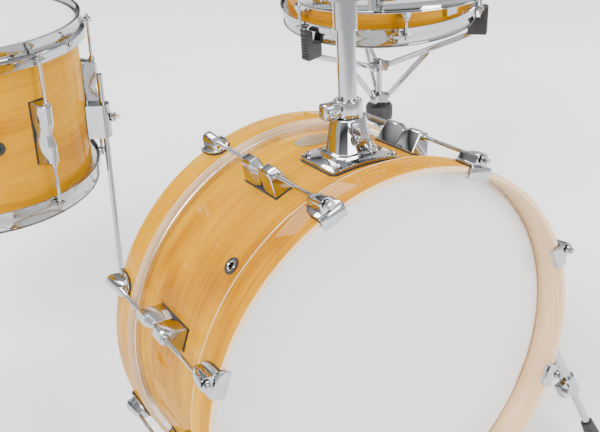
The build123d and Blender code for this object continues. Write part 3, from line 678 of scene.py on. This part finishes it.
def flanged_drum(name, matrix, radius, depth, first, lug_length, wood, body, gaskets=False):
    """All the round and repeated pieces of a steel-hooped drum."""
    top, bottom = move(0, 0, depth), turn_x(180)
    frame["nodes"][f"{name}_shell"].data.materials.clear()
    frame["nodes"][f"{name}_shell"].data.materials.append(wood)
    prefix = name.replace("snare_drum", "snare")
    hoop = flanged_hoop(radius, 6, first)
    hoop_low = flanged_hoop(radius, 6, -first)
    hoops = hoop.at(top) + hoop_low.at(bottom)
    build(f"{prefix}_steel_hoops", hoops, matrix, [CHROME], body, f"{prefix}_hoops")
    one_head = head(radius)
    heads = one_head.at(top) + one_head.at(bottom)
    build(f"{prefix}_film_heads", heads, matrix, [COATED_FILM, ALUMINIUM], body, f"{prefix}_heads")
    seat = GASKET if gaskets else 0.02
    one_lug = lug(radius, radius + EAR_R, lug_length, seat).at(move(0, 0, depth / 2))
    lugs = total(one_lug.at(turn) for turn in around(FLANGED_LUGS, first))
    build(f"{prefix}_cast_lugs", lugs, matrix, [CHROME], body, f"{prefix}_lugs")
    half = lug_length / 2
    one_rod = tension_rod(radius + EAR_R, -12.4, -(depth / 2 - half + ROD_DEPTH))
    rods = [one_rod.at(turn).at(top) for turn in around(FLANGED_LUGS, first)]
    rods += [one_rod.at(turn).at(bottom) for turn in around(FLANGED_LUGS, -first)]
    build(f"{prefix}_key_rods", total(rods), matrix, [CHROME], body, f"{prefix}_tension_rods")


# --- bass drum ------------------------------------------------------------------------------------
BOTH_WAYS = (Matrix(), turn_x(180))


def bass_claw():
    """Plated claw: tapered saddle, rod tunnel and hook. Its round-flanged key bolt is the tension rod, built
    apart.
    """
    top = HOOP_OUT + LINER + 1.6
    front = HOOP_FRONT + LINER + 1.7
    path = [(top, 104.5, 2.6), (top, 107, 7.0), (top, 111, 10.6), (top, 117, 13.8), (top, 124, 15.6)]
    path += [(top, 131, CLAW_HALF)]
    path += [(top, front - 2.4, CLAW_HALF), (top - 0.5, front - 0.7, CLAW_HALF)]
    path += [(top - 2.4, front, CLAW_HALF), (258, front, CLAW_HALF)]
    path += [(254.6, front - 0.5, CLAW_HALF - 0.4), (253.6, front - 2.4, CLAW_HALF - 1)]
    path += [(253.5, front - 6.5, CLAW_HALF - 2.4)]
    plate = strip(path, 3.0).bevel(0.7, 2, 40)
    rings = []
    stations = [(108, 5.4, 276.5), (112, 6.6, 280.5), (122, 7.4, 283.6)]
    stations += [(134, 8.2, 285.6), (141.5, 8.6, 286.2)]
    for z, width, crown in stations:
        low = HOOP_OUT + LINER + 1.0
        ring = [(low, -width - 2.4), (low + 4, -width - 1.2), (BASS_ROD_R, -width)]
        arch = []
        for degrees in (25, 50, 75, 105, 130, 155):
            turn = math.radians(degrees)
            arch.append((BASS_ROD_R + (crown - BASS_ROD_R) * math.sin(turn), -width * math.cos(turn)))
        ring += arch + [(BASS_ROD_R, width), (low + 4, width + 1.2), (low, width + 2.4)]
        rings.append([(x, y, z) for x, y in ring])
    tunnel = skin(rings).bevel(0.5, 1, 50)
    return plate + tunnel


def bass_claw_liner():
    half = CLAW_HALF - 0.8
    over, front = HOOP_OUT + 0.6, HOOP_FRONT + 0.6
    path = [(over, 103.6, 4.4), (over, 107, 9.0), (over, 114, 13.5), (over, 126, 16.4), (over, 141.0, 16.6)]
    path += [(HOOP_OUT, front, 16.6), (256.4, front, half)]
    return strip(path, 1.1)


def curved_plate(half_x, half_y, corner, low_r, high_r, cy, columns=24):
    """Rounded rectangle on the shell's crown, in the bass drum's upright frame."""
    rings = []
    for k in range(columns + 1):
        x = half_x * math.cos(math.pi * (1 - k / columns))
        over = max(0.0, abs(x) - (half_x - corner))
        y = half_y - corner + math.sqrt(max(corner**2 - over**2, 0.04))
        low, high = math.sqrt(low_r**2 - x**2), math.sqrt(high_r**2 - x**2)
        rings.append([(x, cy - y, low), (x, cy - y, high), (x, cy + y, high), (x, cy + y, low)])
    return skin(rings)


def oval_plate(half_x, half_y, cut_x, low_r, high_r, cy, columns=36):
    """Ellipse with its two ends cut straight, on the shell's crown."""
    rings = []
    for k in range(columns + 1):
        x = cut_x * (2 * k / columns - 1)
        y = half_y * math.sqrt(1 - (x / half_x) ** 2)
        low, high = math.sqrt(low_r**2 - x**2), math.sqrt(high_r**2 - x**2)
        rings.append([(x, cy - y, low), (x, cy - y, high), (x, cy + y, high), (x, cy + y, low)])
    return skin(rings)


def build_bass_drum():
    shell = frame["nodes"]["bass_drum_shell"]
    shell.data.materials.clear()
    shell.data.materials.append(BASS_WOOD)
    outside = [(HOOP_IN, HOOP_BACK), (HOOP_OUT, HOOP_BACK), (HOOP_OUT, HOOP_FRONT - 1.4)]
    outside += [(HOOP_OUT - 0.4, HOOP_FRONT - 0.5), (HOOP_OUT - 1.3, HOOP_FRONT)]
    inside = [(HOOP_IN + 1.3, HOOP_FRONT), (HOOP_IN + 0.4, HOOP_FRONT - 0.5), (HOOP_IN, HOOP_FRONT - 1.4)]
    hoop = lathe(outside + inside, 256)
    for side, flip in (("front", BOTH_WAYS[0]), ("back", BOTH_WAYS[1])):
        build(f"wooden_{side}_hoop", hoop.at(flip), BASS, [HOOP_WOOD], "bass_drum", f"bass_{side}_hoop")
    flesh = FLESH_OUT - BASS_R
    for side, film, flip in (("front", SMOOTH_FILM, Matrix()), ("back", COATED_FILM, turn_x(180))):
        one = head(BASS_R, BASS_HALF, flesh, HOOP_BACK - BASS_HALF - 0.2, -14.0)
        build(f"bass_{side}_film", one.at(flip), BASS, [film, ALUMINIUM], "bass_drum", f"bass_{side}_head")
    turns = [turn_z(angle) for angle in BASS_LUG_AT]
    spots = [turn @ flip for turn in turns for flip in BOTH_WAYS]
    claw, liner = bass_claw(), bass_claw_liner()
    rod = tension_rod(BASS_ROD_R, HOOP_FRONT + LINER + 0.6, BASS_LUG_LENGTH / 2 - ROD_DEPTH, 24)
    one_lug, pad = lug(BASS_R, BASS_ROD_R, BASS_LUG_LENGTH), lug_pad(BASS_R, BASS_LUG_LENGTH)
    build("plated_claws", total(claw.at(m) for m in spots), BASS, [CHROME], "bass_drum", "bass_claws")
    liners = total(liner.at(m) for m in spots)
    build("rubber_claw_liners", liners, BASS, [RUBBER], "bass_drum", "bass_claw_liners")
    build("bass_key_rods", total(rod.at(m) for m in spots), BASS, [CHROME], "bass_drum", "bass_tension_rods")
    build("bass_cast_lugs", total(one_lug.at(m) for m in turns), BASS, [CHROME], "bass_drum", "bass_lugs")
    base_pad = curved_plate(49, 40, 10, BASS_R + 0.05, BASS_R + GASKET, POST_Y)
    pads = total(pad.at(m) for m in turns).at(BASS) + base_pad.at(BASS_UPRIGHT)
    build("shell_gasket_set", pads, Matrix(), [RUBBER], "bass_drum", "bass_shell_gaskets")
    grommet = vent(BASS_R).at(turn_z(136) @ move(0, 0, 60))
    build("bass_vent", grommet, BASS, [RUBBER, CHROME], "bass_drum", "bass_vent_grommet")
    badge = oval_plate(31, 18, 27.4, BASS_R + 0.05, BASS_R + 0.9, BADGE_Y)
    for x in (-23.5, 23.5):
        rivet_z = math.sqrt(BASS_R**2 - x**2)
        rivet = turned([(2.4, rivet_z - 1), (2.4, rivet_z + 1.0), (1.2, rivet_z + 1.6)], 20)
        badge = badge + rivet.at(move(x, BADGE_Y, 0)).paint(1)
    build("oval_badge", badge, BASS_UPRIGHT, [BRASS, DARK_STEEL_AND_SHADE], "bass_drum", "shell_badge")


def vent(radius):
    """Rubber ring and plated eyelet on the +X side of a shell."""
    rubber = lathe([(6.3, -4), (10.2, -4), (10.5, 0.6), (9.6, 1.9), (7.6, 2.1), (6.3, 1.4)], 48)
    eyelet = lathe([(4.2, -8), (6.2, -8), (6.2, 1.3), (7.3, 2.0), (6.9, 2.4), (5.4, 2.3), (4.2, 1.2)], 48)
    return (rubber + eyelet.paint(1)).at(move(radius, 0, 0) @ turn_y(90))


# --- tom holder -----------------------------------------------------------------------------------
def build_tom_base():
    stations = [(250, 33.6, 27.6, 9), (261.4, 29.4, 24.8, 8.6)]
    stations += [(262.6, 28.4, 24.2, 8.4), (263.0, 24.0, 21.6, 7.6)]
    stations += [(BASE_TOP - 1, 18.6, 17.5, 6.6), (BASE_TOP, 17.8, 16.7, 6.0)]
    tower = skin([chamfered(a, b, c, z, POST_Y) for z, a, b, c in stations]).bevel(0.5, 2, 14)
    # The recess is a solid block painted darker steel: painted shade in place of the hollow where the wing
    # bolt goes in.
    recess_shade_block = block(-8.5, 8.5, POST_Y - 21.2, POST_Y - 16, WING_Z - 9, BASE_TOP - 3).bevel(1.2, 2)
    tower = tower + recess_shade_block.paint(1)
    plate = curved_plate(47.8, 38.8, 9, BASS_R + GASKET, BASS_R + 5.1, POST_Y).bevel(1.0, 2, 40)
    build("tom_base_casting", plate + tower, BASS_UPRIGHT, [CHROME, DARK_STEEL_AND_SHADE], "bass_drum", "tom_base")
    screws = Form()
    for x in (-39, 39):
        for y in (POST_Y - 31, POST_Y + 31):
            foot = math.sqrt(BASS_R**2 - x**2)
            steps = [(2.0, -3), (2.0, 4), (4.4, 5.6), (4.2, 7.6), (3.0, 8.6), (1.2, 8.8)]
            one = turned([(radius, foot + z) for radius, z in steps], 24)
            # Each screw's cross slot is a thin block painted darker steel: painted shade in place of the
            # slot's depth.
            low, high = foot + 8.3, foot + 8.8
            slot = block(-2.6, 2.6, -0.5, 0.5, low, high) + block(-0.5, 0.5, -2.6, 2.6, low, high)
            screws = screws + (one + slot.paint(1)).at(move(x, y, 0))
    build("base_screw_set", screws, BASS_UPRIGHT, [CHROME, DARK_STEEL_AND_SHADE], "bass_drum", "tom_base_screws")
    wing = wing_bolt(21, 10.0).at(move(0, WING_Y, WING_Z) @ turn_x(90) @ turn_z(118))
    build("base_wing", wing, BASS_UPRIGHT, [CHROME], "base_wing", "base_wing_bolt")
    place = move(0, POST_Y, 0) @ turn_z(TOM_AT) @ move(-23.4, 0, BALL_Z + 8) @ turn_y(-90)
    wing = wing_bolt(22, 7.0).at(place)
    build("holder_wing", wing, BASS_UPRIGHT, [CHROME], "holder_wing", "holder_wing_bolt")


def build_post():
    low, high = BASE_TOP + 0.2, COLLAR_TOP
    inner = POST_R + 0.1
    outline = [(inner, low), (16.6, low), (17.5, low + 1.2), (17.5, high - 1.2), (16.6, high), (inner, high)]
    collar = lathe(outline, 12)
    collar = collar.at(turn_z(15)).bevel(0.8, 2, 20)
    ear = block(-35.8, -12, -8.8, 8.8, low + 1.0, high - 1.0).bevel(3.0, 3)
    steps = [(2.6, -9), (2.6, 8.6), (5.4, 8.8), (5.4, 11.4), (4.6, 12.2), (3.4, 12.2), (3.4, 10.6)]
    bolt = turned(steps, 28)
    key = block(-2.2, 2.2, -2.2, 2.2, 10, 13.4).bevel(0.4, 2)
    bolt = (bolt + key).at(move(-27.5, 0, (low + high) / 2) @ turn_x(90))
    whole = (collar + ear + bolt).at(move(0, POST_Y, 0))
    build("memory_collar", whole, BASS_UPRIGHT, [CHROME], "post", "post_memory_collar")


def build_stand():
    """Basket arms, rubber grips and the basket's tightening nut."""
    tip = SNARE_UP - 17.5
    path = [(15, HUB_HIGH + 0.8, 3.9), (GRIP_R - 32, tip - 32.5, 3.9), (GRIP_R + 2, tip - 15.5, 3.9)]
    upper = strip(path, 10.4)
    lower = strip([(16, HUB_LOW + 2, 3.4), (42, 104, 3.4), (99, 173, 3.4)], 10.6)
    arms = upper.bevel(1.6, 2) + lower.bevel(1.6, 2)
    outline = [(GRIP_R - 21, tip - 22), (GRIP_R - 19, tip - 24), (GRIP_R + 14, tip - 24)]
    for k in range(9):
        z = tip - 21 + k * 5.6
        rib, groove = GRIP_R + 15.8, GRIP_R + 14.4
        outline += [(rib, z), (rib, z + 3.6), (groove, z + 4.4), (groove, z + 4.8)]
    outline += [(GRIP_R + 14, tip + 30.8), (GRIP_R + 4, tip + 30.8)]
    outline += [(GRIP_R + 1.6, tip + 28), (GRIP_R + 1.6, tip + 5.4)]
    outline += [(GRIP_R - 19, tip + 5.4), (GRIP_R - 21, tip + 3.4)]
    grip = profile_block(outline, 8.8).bevel(0.7, 2, 40)
    turns = around(3, ARM_AT)
    build("basket_arm_set", total(arms.at(t) for t in turns), BASKET, [CHROME], "basket", "basket_arms")
    build("basket_grip_set", total(grip.at(t) for t in turns), BASKET, [RUBBER], "basket", "basket_grips")
    profile = [(6.2, 20), (22, 20), (25.6, 21.4), (27.4, 25), (28, 30)]
    profile += [(28, 47), (27.2, 51), (24.4, 54.2), (20, 55), (6.2, 55)]
    build("basket_knob", lathe(profile, 96), BASKET, [RUBBER], "nut", "basket_nut")


def build_floor_tom_bolts():
    leg_x, bolt_z = FLOOR_R + 27.0, 92.0
    wing = wing_bolt(30, 6.2).at(move(leg_x + 11.4, 0, bolt_z) @ turn_y(90) @ turn_z(64))
    bolts = total(wing.at(t) for t in around(3, FLOOR_LEG_AT))
    build("leg_wing_bolt_set", bolts, FLOOR, [CHROME], "floor_tom", "floor_tom_wing_bolts")


CAD_KEEP = {
    CHROME: (
        "tom_post", "tom_holder_clamp", "tom_arm", "rack_tom_bracket",
        "floor_tom_leg_brackets", "floor_tom_legs", "snare_strainer", "snare_throw_lever",
        "snare_wires", "stand_tube", "stand_height_tube", "basket_stem",
        "stand_leg_front", "stand_leg_left", "stand_leg_right", "spur_brackets",
        "left_spur_tube", "left_spur_rod", "right_spur_tube", "right_spur_rod",
    ),
    RUBBER: ("floor_tom_leg_feet", "left_spur_foot", "right_spur_foot", "floor_tom_gaskets"),
}

build_bass_drum()
build_tom_base()
build_post()
build_stand()
build_floor_tom_bolts()
flanged_drum("rack_tom", TOM, TOM_R, TOM_DEPTH, TOM_AT + 30, 44.0, TOM_WOOD, "rack_tom")
flanged_drum(
    "floor_tom",
    FLOOR,
    FLOOR_R,
    FLOOR_DEPTH,
    FLOOR_LUG_AT,
    FLOOR_LUG_LENGTH,
    FLOOR_WOOD,
    "floor_tom",
    gaskets=True,
)
flanged_drum("snare_drum", SNARE, SNARE_R, SNARE_DEPTH, SNARE_LUG_AT, 40.0, SNARE_WOOD, "snare_drum")
for material, names in CAD_KEEP.items():
    for node in names:
        frame["nodes"][node].data.materials.clear()
        frame["nodes"][node].data.materials.append(material)
